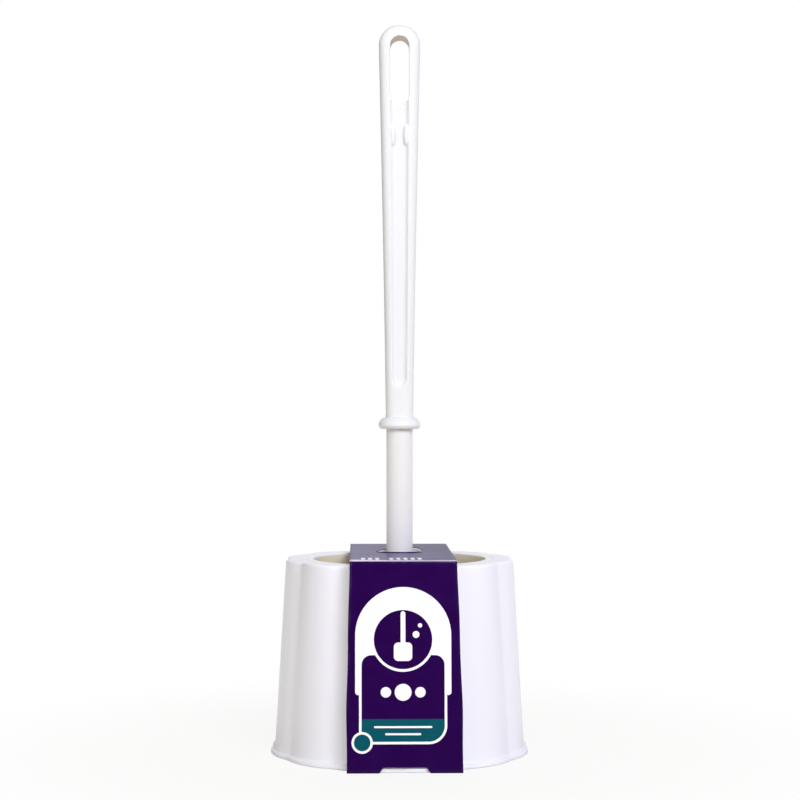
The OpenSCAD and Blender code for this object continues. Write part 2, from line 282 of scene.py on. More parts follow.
# ---------------------------------------------------------------------------
# Outer shell. One glossy white moulding, open below, that flares down to a
# foot flange. Twelve convex lobes run up it, deepest at the softly rounded rim,
# whose flat top is painted a little whiter, as painted light from above, and has a step for the cup's lip.

LOBES = 12
RIM_CREST = 61.2
FOOT_CREST = 66.9
LOBE_ARC = 22
FOOT_DEPTH = 1.5
VALLEY_ROUND = math.radians(2)
RIM_ROUND = 1.4
SHELL_WALL = 1.8
FLANGE_REACH = 2
FLANGE_T = 2.3
FLANGE_ROUND = 0.7
FOOT_SWEEP = 1.6
TOP_LAND = 0.4
STEP_LAND = 1.2
STEP_ROUND = 0.15
STEPS_PER_LOBE = 32
OUTSIDE_ROWS = 24
INSIDE_ROWS = 12
half_lobe = math.pi / LOBES
rim_z = shell_top - RIM_ROUND


def lobe_arc(phi):
    """Distance from the axis to a lobe's arc at an angle from its crest."""
    centre = RIM_CREST - LOBE_ARC
    return centre * math.cos(phi) + math.sqrt(LOBE_ARC ** 2 - (centre * math.sin(phi)) ** 2)


def wall_radius(angle, height):
    """Radius of the shell's wall at an angle and a height."""
    from_valley = half_lobe - abs(angle / (2 * half_lobe) % 1 - 0.5) * 2 * half_lobe
    rim_depth = RIM_CREST - lobe_arc(half_lobe - VALLEY_ROUND)
    dip = (RIM_CREST - lobe_arc(half_lobe - math.hypot(from_valley, VALLEY_ROUND))) / rim_depth
    share = height / rim_z
    crest = FOOT_CREST + (RIM_CREST - FOOT_CREST) * share
    depth = FOOT_DEPTH + (rim_depth - FOOT_DEPTH) * share
    return crest - depth * dip


def lobed_loop(height, offset):
    """One ring of the shell: offset outside the wall at a height."""
    count = LOBES * STEPS_PER_LOBE
    loop = []
    for i in range(count):
        angle = math.tau * i / count
        radius = wall_radius(angle, min(height, rim_z)) + offset
        loop.append((radius * math.cos(angle), radius * math.sin(angle), height))
    return loop


def round_loop(height, radius):
    """One circular ring of the shell, for its mouth."""
    count = LOBES * STEPS_PER_LOBE
    angles = [math.tau * i / count for i in range(count)]
    return [(radius * math.cos(a), radius * math.sin(a), height) for a in angles]


quarter = [math.radians(15 * k) for k in range(7)]
mouth_r = cup_outer_r + CUP_GAP
step_r = lip_r + CUP_GAP
shell_loops = [lobed_loop(0, FLANGE_REACH - FLANGE_ROUND)]
shell_loops += [
    lobed_loop(FLANGE_ROUND * (1 - math.cos(a)), FLANGE_REACH - FLANGE_ROUND * (1 - math.sin(a)))
    for a in quarter
]
shell_loops += [
    lobed_loop(FLANGE_T - FLANGE_ROUND * (1 - math.sin(a)), FLANGE_REACH - FLANGE_ROUND * (1 - math.cos(a)))
    for a in quarter
]
shell_loops += [
    lobed_loop(FLANGE_T + FOOT_SWEEP * (1 - math.cos(a)), FOOT_SWEEP * 0.5 * (1 - math.sin(a)))
    for a in quarter
]
sweep_top = FLANGE_T + FOOT_SWEEP
shell_loops += [
    lobed_loop(sweep_top + (rim_z - sweep_top) * k / OUTSIDE_ROWS, 0) for k in range(1, OUTSIDE_ROWS + 1)
]
shell_loops += [
    lobed_loop(rim_z + RIM_ROUND * math.sin(a), -RIM_ROUND * (1 - math.cos(a))) for a in quarter
]
shell_loops += [
    lobed_loop(shell_top, -RIM_ROUND - TOP_LAND),
    round_loop(shell_top, step_r + STEP_LAND),
    round_loop(shell_top, step_r + STEP_ROUND),
    round_loop(shell_top - STEP_ROUND, step_r),
    round_loop(lip_seat_z, step_r),
    round_loop(lip_seat_z, mouth_r),
    round_loop(shell_top - COLLAR_H, mouth_r),
    round_loop(shell_top - COLLAR_H, mouth_r + SHELL_WALL),
    round_loop(shell_top - SHELL_WALL, mouth_r + SHELL_WALL),
    lobed_loop(shell_top - SHELL_WALL, -SHELL_WALL - RIM_ROUND / 2),
    lobed_loop(shell_top - SHELL_WALL - RIM_ROUND / 2, -SHELL_WALL),
]
shell_loops += [lobed_loop(rim_z * (1 - k / INSIDE_ROWS), -SHELL_WALL) for k in range(1, INSIDE_ROWS + 1)]
shell = piece_from(
    "lobed_shell", *loops_joined(shell_loops),
    # The rim colour paints the flat top whiter: painted light from above.
    moulded("white_shell_painted_lit_top", "f1f1f9", "ecebf4", 0.32, rim=("f9f7ff", rim_z + 0.5, shell_top - 0.1)),
    "holder", "outer_shell",
)


# ---------------------------------------------------------------------------
# Brush head. A moulded core with drilled blind holes. Each hole takes a tuft
# of filaments, folded over a flat wire anchor that is driven to its bottom.

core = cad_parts["head_core"]
core.data.materials.clear()
core.data.materials.append(moulded("white_core", "eeeef0", "e4e4e6", 0.45))

anchor_metal, tree, shader = finish("drawn_wire", Metallic=1.0, IOR=2.0)
place = tree.node("ShaderNodeTexCoord", {}, {}, "Object")
drawn = noise(place, 2500.0, 3.0)
feed(tree, shader, Roughness=drawn * 0.3 + 0.2, Base_Color=mixed(drawn, paint("9a958a"), paint("c9c4b8")))
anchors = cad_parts["tuft_anchors"]
anchors.data.materials.clear()
anchors.data.materials.append(anchor_metal)

FILAMENTS = 26
FILAMENT_R = 0.21
FILAMENT_SIDES = 5
FILAMENT_STATIONS = 5
FILAMENT_TIP = 0.6
FILAMENT_GAP = 0.05
GOLDEN_TURN = 2.39996
TURN_LUCK = 0.2
TRIM_LUCK = 0.7
SWAY_LUCK = 0.12
TUFT_HOLE_R = 1.6
TUFT_TIP_R = 2.8
ROOT_DEPTH = 3
RING_TUFTS = 12
RING_R = 39
OUTER_TILT = 60
OUTER_TUFTS = 10
OUTER_EXTRA = 5
INNER_TILT = 30
INNER_TUFTS = 6
INNER_EXTRA = 1.5
core_low, core_high = (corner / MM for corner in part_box("head_core"))
core_r = core_high.x
ball_z = core_low.z + core_r
ring_names = sorted(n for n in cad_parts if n.startswith("tufts_ring_"))
bristle_plastic = moulded("white_filament", "f1f1f3", "e2e2e6", 0.35, grain=0.1, flow=(90, 90, 90))


def filament(points, faces, centre, spread, sway):
    """One filament: a thin tube through its stations, closed at its tip."""
    start = len(points)
    for k in range(FILAMENT_STATIONS + 1):
        along = k / FILAMENT_STATIONS
        at = centre(along) + spread * along + sway * math.sin(math.pi * along)
        side = spread.cross(centre(1) - centre(0))
        side = side.normalized() if side.length > 1e-6 else centre(1).orthogonal().normalized()
        other = side.cross(centre(1) - centre(0)).normalized()
        radius = FILAMENT_R * (FILAMENT_TIP if k == FILAMENT_STATIONS else 1)
        for s in range(FILAMENT_SIDES):
            turn = math.tau * s / FILAMENT_SIDES
            points.append(at + side * radius * math.cos(turn) + other * radius * math.sin(turn))
    for k in range(FILAMENT_STATIONS):
        for s in range(FILAMENT_SIDES):
            a = start + k * FILAMENT_SIDES + s
            b = start + k * FILAMENT_SIDES + (s + 1) % FILAMENT_SIDES
            faces.append((a, b, b + FILAMENT_SIDES, a + FILAMENT_SIDES))
    tip = start + FILAMENT_STATIONS * FILAMENT_SIDES
    faces.append(tuple(tip + s for s in range(FILAMENT_SIDES)))
    faces.append(tuple(start + s for s in reversed(range(FILAMENT_SIDES))))


def tuft(points, faces, origin, direction, reach, luck):
    """One tuft: filaments packed round in the hole and splayed towards their tips."""
    across = direction.orthogonal().normalized()
    upward = direction.cross(across)
    for k in range(FILAMENTS):
        share = math.sqrt((k + 0.5) / FILAMENTS)
        turn = k * GOLDEN_TURN + luck.uniform(-TURN_LUCK, TURN_LUCK)
        ray = across * math.cos(turn) + upward * math.sin(turn)
        inner = (TUFT_HOLE_R - FILAMENT_R - FILAMENT_GAP) * share
        outer = (TUFT_TIP_R - FILAMENT_R) * share
        root = origin + direction * (core_r - ROOT_DEPTH) + ray * inner
        tip = origin + direction * (reach - luck.uniform(0, TRIM_LUCK)) + ray * inner
        sway = (across * luck.uniform(-1, 1) + upward * luck.uniform(-1, 1)) * SWAY_LUCK
        filament(points, faces, lambda t: root.lerp(tip, t), ray * (outer - inner), sway)


def bristles(name, node, tufts, seed):
    """A ring of tufts as filament meshes: tufts is a list of (origin, direction, reach)."""
    luck = random.Random(seed)
    points, faces = [], []
    for origin, direction, reach in tufts:
        tuft(points, faces, origin, direction, reach, luck)
    made = piece_from(name, points, faces, bristle_plastic, "brush", node)


for number, node in enumerate(ring_names, 1):
    low, high = (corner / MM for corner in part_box(node))
    origin = Vector((0, 0, (low.z + high.z) / 2))
    turns = [math.tau * (i + number % 2 / 2) / RING_TUFTS for i in range(RING_TUFTS)]
    bristles(f"bristle_ring_{number}", node, [
        (origin, Vector((math.cos(a), math.sin(a), 0)), RING_R) for a in turns
    ], number)

ball = Vector((0, 0, ball_z))
end_reach = ball_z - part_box("tufts_end_inner")[0].z / MM


def end_row(tilt, count, reach):
    """Tufts that fan out of the core's round end, tilted off its axis."""
    lean = math.radians(tilt)
    row = []
    for i in range(count):
        turn = math.tau * (i + 0.5) / count
        sideways = Vector((math.sin(turn), -math.cos(turn), 0))
        row.append((ball, sideways * math.sin(lean) - Vector((0, 0, math.cos(lean))), reach))
    return row


outer_row = end_row(OUTER_TILT, OUTER_TUFTS, end_reach + OUTER_EXTRA)
inner_row = end_row(INNER_TILT, INNER_TUFTS, end_reach + INNER_EXTRA)
bristles("bristle_end_outer", "tufts_end_outer", outer_row, 21)
bristles("bristle_end_inner", "tufts_end_inner", inner_row + end_row(0, 1, end_reach), 22)


# ---------------------------------------------------------------------------
# Stem. A plain satin rod, slightly duller than the grip. Its two thinner ends
# are pressed into the brush head and into the grip.

stem_low, stem_high = (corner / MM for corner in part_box("stem"))
grip_low, grip_high = (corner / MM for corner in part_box("handle"))
stem_r = stem_high.x
SPIGOT_R = 4.5
SEAT_DEPTH = 1.5
STEM_ROUND = 0.4
LONG_WALL_END = 20
seat_z = grip_low.z + SEAT_DEPTH
stem_profile = rounded([
    (0, stem_low.z, 0),
    (SPIGOT_R, stem_low.z, STEM_ROUND),
    (SPIGOT_R, core_high.z, 0),
    (stem_r, core_high.z, STEM_ROUND),
    (stem_r, seat_z - LONG_WALL_END, 0),
    (stem_r, seat_z, STEM_ROUND),
    (SPIGOT_R, seat_z, 0),
    (SPIGOT_R, stem_high.z, STEM_ROUND),
    (0, stem_high.z, 0),
])
stem = piece_from(
    "round_stem", *turned(stem_profile, 96),
    moulded("satin_stem", "efeef2", "e6e3e2", 0.38, flow=(60, 60, 8)), "brush", "stem",
)


# ---------------------------------------------------------------------------
# Grip. One glossy moulding with softly rounded edges: a tapering handle with a
# hang slot whose downward faces under its web are dull and painted tan as painted shade,
# a flat-floored channel down each face with two small raised ovals at its sides,
# and a domed collar bead at its foot.

GRIP_TOP_W = 22.1
GRIP_TOP_D = 17.4
GRIP_LOW_D = 14.7
GRIP_TAPER = 1.25
SQUARE_LOW = 2.6
SQUARE_TOP = 3.8
CROWN = 10.5
CROWN_SWEEP = math.radians(86)
CROWN_INSET = 1.2
CROWN_FULLNESS = 0.6
COLLAR_D = 22.5
COLLAR_T = 7.1
SLOT_W = 10.2
SLOT_L = 36.5
SLOT_WEB = 6.5
CHANNEL_LOW_Z = 192.7
CHANNEL_LOW_W = 8.4
CHANNEL_TOP_W = 10.2
CHANNEL_DEPTH = 2.1
CHANNEL_WALL = 2.2
PAD_R = 1.3
PAD_HALF_L = 5.6
PAD_X = 3.5
PAD_Y = 7.5
PAD_Z = 326.2
OVERLAP = 2
PAST_FACE = 3
FIT = 0.1
BODY_ROWS = 60
CROWN_ROWS = 16
ROUND_STEPS = 24
VOXEL = 0.36
SMOOTHINGS = 4
DOWNWARD = -0.35
shoulder_z = grip_high.z - CROWN
slot_high_z = grip_high.z - SLOT_WEB
slot_low_z = slot_high_z - SLOT_L
body_low_z = grip_low.z + COLLAR_T - OVERLAP


def oval_loop(width, depth, up, square, count=96):
    """A ring between an ellipse (square 2) and a rectangle."""
    loop = []
    for i in range(count):
        across, back = math.cos(math.tau * i / count), math.sin(math.tau * i / count)
        loop.append((
            width / 2 * math.copysign(abs(across) ** (2 / square), across),
            depth / 2 * math.copysign(abs(back) ** (2 / square), back),
            up,
        ))
    return loop


def capped(loops):
    """Points and faces of stacked rings with flat ends."""
    points, faces = loops_joined(loops, closed=False)
    count = len(loops[0])
    faces.append(tuple(range(count)))
    faces.append(tuple(len(points) - 1 - i for i in range(count)))
    return points, faces


def settled(piece):
    """Applies a piece's modifiers to its mesh."""
    bpy.context.view_layer.update()
    seen = piece.evaluated_get(bpy.context.evaluated_depsgraph_get())
    mesh = bpy.data.meshes.new_from_object(seen)
    piece.modifiers.clear()
    piece.data = mesh


def carve(piece, *cutters):
    """Cuts the cutters' shapes out of a piece."""
    for cutter in cutters:
        cut = piece.modifiers.new("cut", "BOOLEAN")
        cut.operation = "DIFFERENCE"
        cut.solver = "EXACT"
        cut.object = cutter
        settled(piece)
        bpy.data.objects.remove(cutter)


def stadium(name, width, z_low, z_high, reach):
    """A cutter along Y with round ends, for the hang slot."""
    half = width / 2
    half_turn = [math.pi * k / ROUND_STEPS for k in range(ROUND_STEPS + 1)]
    upper = [(half * math.cos(a), z_high - half + half * math.sin(a)) for a in half_turn]
    lower = [(-half * math.cos(a), z_low + half - half * math.sin(a)) for a in half_turn]
    loops = [[(x, y, z) for x, z in upper + lower] for y in (-reach, reach)]
    return piece_from(name, *capped(loops), grip_plastic, None)


def channel(name, side):
    """A cutter for one face: a flat trough with sloped walls, narrowing to its round lower end."""
    top = slot_low_z + OVERLAP
    bunching = 1.6
    narrowest = 0.002
    loops = []
    for k in range(BODY_ROWS + 1):
        share = (k / BODY_ROWS) ** bunching
        up = CHANNEL_LOW_Z + (top - CHANNEL_LOW_Z) * share
        full = (CHANNEL_LOW_W + (CHANNEL_TOP_W - CHANNEL_LOW_W) * share) / 2
        from_end = min(1, (up - CHANNEL_LOW_Z) / full)
        half = full * math.sqrt(max(narrowest, 1 - (1 - from_end) ** 2))
        along = (up - body_low_z) / (shoulder_z - body_low_z)
        face = (GRIP_LOW_D + (GRIP_TOP_D - GRIP_LOW_D) * along) / 2
        loop = []
        for i in range(ROUND_STEPS + 1):
            x = half * (1 - 2 * i / ROUND_STEPS)
            from_edge = min(half - abs(x), up - CHANNEL_LOW_Z)
            inside = min(1, from_edge / CHANNEL_WALL)
            loop.append((x, side * (face - CHANNEL_DEPTH * inside * (2 - inside)), up))
        loop += [(-half, side * (face + PAST_FACE), up), (half, side * (face + PAST_FACE), up)]
        loops.append(loop)
    return piece_from(name, *capped(loops), grip_plastic, None)


grip_plastic = moulded("white_grip", "eaebee", "e5e6e9", 0.28, flow=(40, 40, 6), shine=0.3)
body_loops = []
for k in range(BODY_ROWS + 1):
    along = k / BODY_ROWS
    body_loops.append(oval_loop(
        GRIP_LOW_D + (GRIP_TOP_W - GRIP_LOW_D) * along ** GRIP_TAPER,
        GRIP_LOW_D + (GRIP_TOP_D - GRIP_LOW_D) * along,
        body_low_z + (shoulder_z - body_low_z) * along,
        SQUARE_LOW + (SQUARE_TOP - SQUARE_LOW) * math.sqrt(along),
    ))
for k in range(1, CROWN_ROWS + 1):
    a = CROWN_SWEEP * k / CROWN_ROWS
    body_loops.append(oval_loop(
        GRIP_TOP_W * math.cos(a),
        (GRIP_TOP_D - CROWN_INSET) * math.cos(a) ** CROWN_FULLNESS,
        shoulder_z + CROWN * math.sin(a) / math.sin(CROWN_SWEEP),
        SQUARE_TOP,
    ))
grip = piece_from("moulded_grip", *capped(body_loops), grip_plastic, None)
carve(
    grip,
    stadium("slot_cut", SLOT_W, slot_low_z, slot_high_z, GRIP_TOP_D),
    channel("front_channel", -1),
    channel("back_channel", 1),
)
collar_profile = rounded([
    (0, grip_low.z, 0),
    (COLLAR_D / 2 - 1.2, grip_low.z, 0.5),
    (COLLAR_D / 2, grip_low.z + 1.6, 0.9),
    (COLLAR_D / 2 - 0.3, grip_low.z + 3.6, 1.4),
    (COLLAR_D / 2 - 2.3, grip_low.z + 5.9, 1.6),
    (COLLAR_D / 2 - 4.6, grip_low.z + 6.2, 0.4),
    (0, grip_low.z + 6.6, 0),
])
collar = piece_from("collar_bead", *turned(collar_profile, 96), grip_plastic, None)
socket_cut = piece_from("socket_cut", *turned([
    (0, grip_low.z - PAST_FACE), (stem_r + FIT, grip_low.z - PAST_FACE),
    (stem_r + FIT, seat_z + FIT), (0, seat_z + FIT),
], 64), grip_plastic, None)
carve(collar, socket_cut)
parts = [collar]
pad_turns = [math.radians(12 * k) for k in range(16)]
pad_profile = [(PAD_R * math.sin(a), -PAD_HALF_L * math.cos(a)) for a in pad_turns]
for side in (-1, 1):
    for face in (-1, 1):
        pad = piece_from("oval_pad", *turned(pad_profile, 32), grip_plastic, None)
        pad.data.transform(Matrix.Translation(Vector((side * PAD_X, face * PAD_Y, PAD_Z)) * MM))
        parts.append(pad)
joined = bmesh.new()
for part in [grip, *parts]:
    joined.from_mesh(part.data)
joined.to_mesh(grip.data)
joined.free()
for part in parts:
    bpy.data.objects.remove(part)
remesh = grip.modifiers.new("skin", "REMESH")
remesh.mode = "VOXEL"
remesh.voxel_size = VOXEL * MM
remesh.use_smooth_shade = True
soften = grip.modifiers.new("soften", "SMOOTH")
soften.factor = 0.5
soften.iterations = SMOOTHINGS
settled(grip)
# The downward faces at the top of the slot are made dull and painted tan: painted shade under the web.
grip.data.materials.append(moulded("painted_shade_under_web", "eae0d0", "d0c4ae", 0.6, flow=(300, 300, 300)))
for polygon in grip.data.polygons:
    in_slot_end = polygon.center.z > (slot_high_z - SLOT_W / 2) * MM
    polygon.material_index = 1 if in_slot_end and polygon.normal.z < DOWNWARD else 0
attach(grip, "brush")
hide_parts("handle")


# ---------------------------------------------------------------------------
# Card band. Coated board, printed purple outside and white inside, folded over
# the holder. Its top is painted a lighter purple, lighter on the left, as painted light
# from above, with random streaks, and a pale band along the front fold is a painted
# highlight. The stem stands in an almond slit whose lips lift, and the lower edges
# have thumb notches. The print is plain shapes.

CARD_T = 0.5
CARD_TOP_W = 54
CARD_LOW_W = 58
CARD_YAW = math.radians(1.3)
CARD_SHIFT = 1.2
CARD_LOW_Z = 0.2
CARD_TOP_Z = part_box("card_band")[1].z / MM
CARD_STRAIGHT_Z = 30
CARD_LEAN = 0.6
RIM_GAP = 0.4
FOOT_GAP = 1.6
FOLD_R = 0.9
SLIT_W = 25.6
SLIT_HALF = 7.6
LIP_SPAN = 0.96
LIP_GAP = 0.05
LIP_FOLD_LEAN = 0.2
LIP_LEAN = 0.3
LIP_STATIONS = 40
FAR_LIP_H = 1.7
FAR_LIP_SKEW = 1.1
FAR_LIP_EDGE = 0.35
NEAR_LIP_H = 0.5
NOTCH_W = 26
NOTCH_H = 2.9
NOTCH_FLARE = 0.3
NOTCH_SLOPE = 2.2
NOTCH_ROUND = 1.2
rim_reach = (RIM_CREST - LOBE_ARC) * math.cos(half_lobe - CARD_YAW) + LOBE_ARC
card_foot_y = FOOT_CREST - FOOT_DEPTH + FLANGE_REACH + FOOT_GAP
card_slope = (card_foot_y - rim_reach - RIM_GAP) / rim_z
fold_y = rim_reach + RIM_GAP - card_slope * (CARD_TOP_Z - rim_z) + CARD_T
foot_y = fold_y + card_slope * (CARD_TOP_Z - CARD_LOW_Z)


def distance_to_box(x, z, centre_x, centre_z, half_x, half_z, corner):
    """Signed distance in the print's plane to a box with round corners."""
    qx = abs(x - centre_x) - half_x + corner
    qz = abs(z - centre_z) - half_z + corner
    outside_x = qx.maths("MAXIMUM", qx, 0.0)
    outside_z = qz.maths("MAXIMUM", qz, 0.0)
    outside = x.maths("SQRT", outside_x * outside_x + outside_z * outside_z)
    inside = x.maths("MINIMUM", x.maths("MAXIMUM", qx, qz), 0.0)
    return outside + inside - corner


def distance_to_dot(x, z, centre_x, centre_z, radius):
    """Signed distance in the print's plane to a round dot."""
    across, up = x - centre_x, z - centre_z
    return x.maths("SQRT", across * across + up * up) - radius


def inked(distance, edge=0.09):
    """How much ink lies at a distance: 1 inside a shape and 0 outside, with a hair-thin soft edge."""
    share = 0.5 - distance * (1 / edge)
    return distance.node("ShaderNodeClamp", {}, {"Value": share})


def front_print(x, z, purple):
    """The front's colours: an arch, a disc with a brush in it, a panel with a teal foot, and a ring."""
    middle, disc_z, dots_z, foot_z = -0.9, 66, 40, 26.8
    ring_line, disc_line, panel_line = 1.2, 1.3, 1.25
    white, teal = paint("f7f6f8"), paint("0b5260")
    arch = x.maths("MINIMUM", distance_to_dot(x, z, -0.8, 68, 24),
                   distance_to_box(x, z, -0.8, 53.3, 24, 14.7, 1.5))
    panel = x.maths("MAXIMUM", distance_to_box(x, z, middle, 37, 20.7, 21.3, 4.8),
                    distance_to_box(x, z, -11.9, 47, 31.7, 31.3, 7.9))
    ring = distance_to_dot(x, z, -21.3, 15.2, 5.3)
    disc = distance_to_dot(x, z, middle, disc_z, 14.6)
    white_area = x.maths("MINIMUM", x.maths("MINIMUM", arch, panel - panel_line), ring)
    colour = mixed(inked(white_area), purple, white)
    colour = mixed(inked(panel), colour, purple)
    colour = mixed(inked(x.maths("MAXIMUM", panel, z - foot_z)), colour, teal)
    colour = mixed(inked(ring), colour, white)
    colour = mixed(inked(ring + ring_line), colour, teal)
    colour = mixed(inked(disc - disc_line), colour, white)
    colour = mixed(inked(disc), colour, purple)
    brush = [
        distance_to_box(x, z, middle, disc_z + 5.5, 1.2, 8.5, 1.2),
        distance_to_box(x, z, middle, disc_z - 6, 4.6, 4.6, 2.2),
        distance_to_dot(x, z, 5.6, disc_z + 2.5, 1.7),
        distance_to_dot(x, z, 7.6, disc_z + 7, 1.1),
    ]
    rules = [
        distance_to_box(x, z, middle, 22.9, 14.5, 0.5, 0.5),
        distance_to_box(x, z, middle, 19.4, 9, 0.5, 0.5),
    ]
    dots = [
        distance_to_dot(x, z, middle - 8.6, dots_z, 2.6),
        distance_to_dot(x, z, middle, dots_z, 4.2),
        distance_to_dot(x, z, middle + 8.6, dots_z, 2.6),
    ]
    for shape in brush + rules + dots:
        colour = mixed(inked(shape), colour, white)
    return colour


def top_print(x, y, lit_scuffed_purple, raggedness):
    """The top's colours: two groups of plain bars, and a pale band along the front fold, wider on the left
    with a ragged edge: a painted highlight.
    """
    half_pitch, half_bar, bars_y, bars_half_y = 1.8, 0.95, -46, 6
    bars = x.maths("PINGPONG", x + 100, half_pitch) - half_bar
    groups = x.maths("MINIMUM", distance_to_box(x, y, -17.8, bars_y, 5.4, bars_half_y, 0.3),
                     distance_to_box(x, y, 0.8, bars_y, 8.4, bars_half_y, 0.3))
    colour = mixed(inked(x.maths("MAXIMUM", bars, groups), 0.5), lit_scuffed_purple, paint("f7f6f8"))
    # A pale band along the front fold is a painted highlight on the fold.
    highlight_width, highlight_edge = 7, 4
    wider_left = x.maths("MINIMUM", x + 4, 0) * 0.22
    painted_fold_highlight = inked(y + wider_left + (fold_y - highlight_width) + raggedness * 3, highlight_edge)
    return mixed(painted_fold_highlight, colour, paint("ebe6f6"))


def card_stock(name, deep, bright, face="plain"):
    """Coated board, printed purple from deep to bright, with the artwork of its face: front or top."""
    made, tree, shader = finish(name, IOR=1.5, Specular_IOR_Level=0.35)
    place = tree.node("ShaderNodeTexCoord", {}, {}, "Object")
    turned_back = tree.node("ShaderNodeMapping", {"vector_type": "TEXTURE"}, {
        "Vector": place, "Rotation": (0, 0, CARD_YAW), "Scale": (MM, MM, MM)})
    x = part_of(turned_back, "X") - CARD_SHIFT
    mottle = noise(place, 120.0, 4.0)
    fibres = noise(place, 900.0, 3.0)
    colour = mixed(mottle, paint(deep), paint(bright))
    roughness = mottle * 0.05 + fibres * 0.03 + 0.11
    if face == "front":
        colour = front_print(x, part_of(turned_back, "Z"), colour)
    if face == "top":
        # The top is painted a lighter purple than the sides, lighter towards the left: painted light from
        # above, with random scuffed streaks through it.
        streaks = noise(stretched(place, (20, 110, 1)), 1.0, 3.0)
        lit_and_scuffed = tree.node("ShaderNodeClamp", {}, {"Value": streaks * 0.7 - x * 0.008 + 0.12})
        lit_scuffed_purple = mixed(lit_and_scuffed, paint(deep), paint(bright))
        colour = top_print(x, part_of(turned_back, "Y"), lit_scuffed_purple, fibres + mottle)
        roughness = roughness + (1 - lit_and_scuffed) * 0.08 + 0.14
    feed(tree, shader, Base_Color=colour, Roughness=roughness)
    feed(tree, shader, Normal=tree.node("ShaderNodeBump", {}, {
        "Strength": 0.15, "Distance": 0.05 * MM, "Height": mottle + fibres * 0.05}))
    return made


bare_board, tree, shader = finish("bare_board", Roughness=0.75)
pulp = noise(tree.node("ShaderNodeTexCoord", {}, {}, "Object"), 700.0, 5.0)
feed(tree, shader, Base_Color=mixed(pulp, paint("efecea"), paint("faf9f8")))
feed(tree, shader, Normal=tree.node(
    "ShaderNodeBump", {}, {"Strength": 0.3, "Distance": 0.1 * MM, "Height": pulp}))

PRINTED, PLAIN, BARE, TOP = range(4)
COLUMNS = 36
ROW_H = 1.6
BOW = 0.28
RIPPLE = 0.12
fold_line = rounded([
    (-foot_y, CARD_LOW_Z, 0),
    (-fold_y, CARD_TOP_Z, FOLD_R),
    (fold_y, CARD_TOP_Z, FOLD_R),
    (foot_y, CARD_LOW_Z, 0),
], 5)
path = [fold_line[0]]
for point in fold_line[1:]:
    start = path[-1]
    rows_between = max(1, round((point - start).length / ROW_H))
    path += [start.lerp(point, k / rows_between) for k in range(1, rows_between + 1)]


def card_point(k, column, inward):
    """A point of the board: along its folded line, across its width, and inward through its thickness."""
    y, z = path[k]
    ahead = (path[min(k + 1, len(path) - 1)] - path[max(k - 1, 0)]).normalized()
    out = Vector((-ahead.y, ahead.x))
    share = (z - CARD_LOW_Z) / (CARD_TOP_Z - CARD_LOW_Z)
    taper = max(0, (z - CARD_STRAIGHT_Z) / (CARD_TOP_Z - CARD_STRAIGHT_Z))
    half = (CARD_LOW_W + (CARD_TOP_W - CARD_LOW_W) * taper) / 2
    across = column / COLUMNS * 2 - 1
    slack = math.sin(math.pi * min(1, share)) if abs(y) > fold_y - 1 else 0
    bow = slack * (BOW * (1 - across * across) + RIPPLE * math.sin(5 * z / 16 + 2 * across))
    y, z = Vector((y, z)) + out * (bow - inward)
    wander = RIPPLE * math.sin(z / 7 + 3 * across) * across
    return Vector((across * half + wander + CARD_SHIFT - CARD_LEAN * share, y, z))


outer = [[card_point(k, c, 0) for c in range(COLUMNS + 1)] for k in range(len(path))]
inner = [[card_point(k, c, CARD_T) for c in range(COLUMNS, -1, -1)] for k in range(len(path))]
points, faces = capped([a + b for a, b in zip(outer, inner)])
printed_front = card_stock("printed_front", "22013f", "2b0350", face="front")
card = piece_from("folded_card", points, faces, printed_front, None)
card.data.materials.append(card_stock("plain_purple", "22013f", "2b0350"))
card.data.materials.append(bare_board)
# The top's lighter purple is painted light from above.
card.data.materials.append(card_stock("printed_top", "2a1558", "5f4f96", face="top"))
for polygon in card.data.polygons:
    centre = polygon.center / MM
    facing = polygon.normal.y * (1 if centre.y > 0 else -1)
    on_panel = abs(centre.y) > fold_y - 0.3
    outside = facing > 0.5 if on_panel else polygon.normal.z > 0.5
    if abs(polygon.normal.x) > 0.6 or not outside:
        polygon.material_index = BARE
    elif not on_panel:
        polygon.material_index = TOP
    else:
        polygon.material_index = PRINTED if centre.y < 0 and centre.z < CARD_TOP_Z - 1 else PLAIN
slit_r = ((SLIT_W / 2) ** 2 + SLIT_HALF ** 2) / (2 * SLIT_HALF)
slit_half_angle = math.asin(SLIT_W / 2 / slit_r)


def slit_edge(side, share):
    """A point of the slit's far or near edge, at a share of its half-width from the middle."""
    a = slit_half_angle * share
    return slit_r * math.sin(a), side * (slit_r * math.cos(a) - slit_r + SLIT_HALF)


def lip_rings(side, height, skew, printed_edge):
    """Rings of a lip along one edge of the slit: its front face, folded printed edge, and back."""
    front_gap = LIP_GAP if side > 0 else -LIP_GAP - CARD_T
    rings = []
    for k in range(LIP_STATIONS + 1):
        share = LIP_SPAN * (1 - 2 * k / LIP_STATIONS)
        x, y = slit_edge(side, share)
        front = y + front_gap
        top = (height + skew * share) * (1 - share ** 4)
        rings.append([
            (x, front, CARD_TOP_Z - CARD_T),
            (x, front + LIP_FOLD_LEAN, CARD_TOP_Z + max(0, top - printed_edge)),
            (x, front + LIP_LEAN, CARD_TOP_Z + top),
            (x, front + LIP_LEAN + CARD_T, CARD_TOP_Z + top),
            (x, front + CARD_T, CARD_TOP_Z - CARD_T),
        ])
    return rings


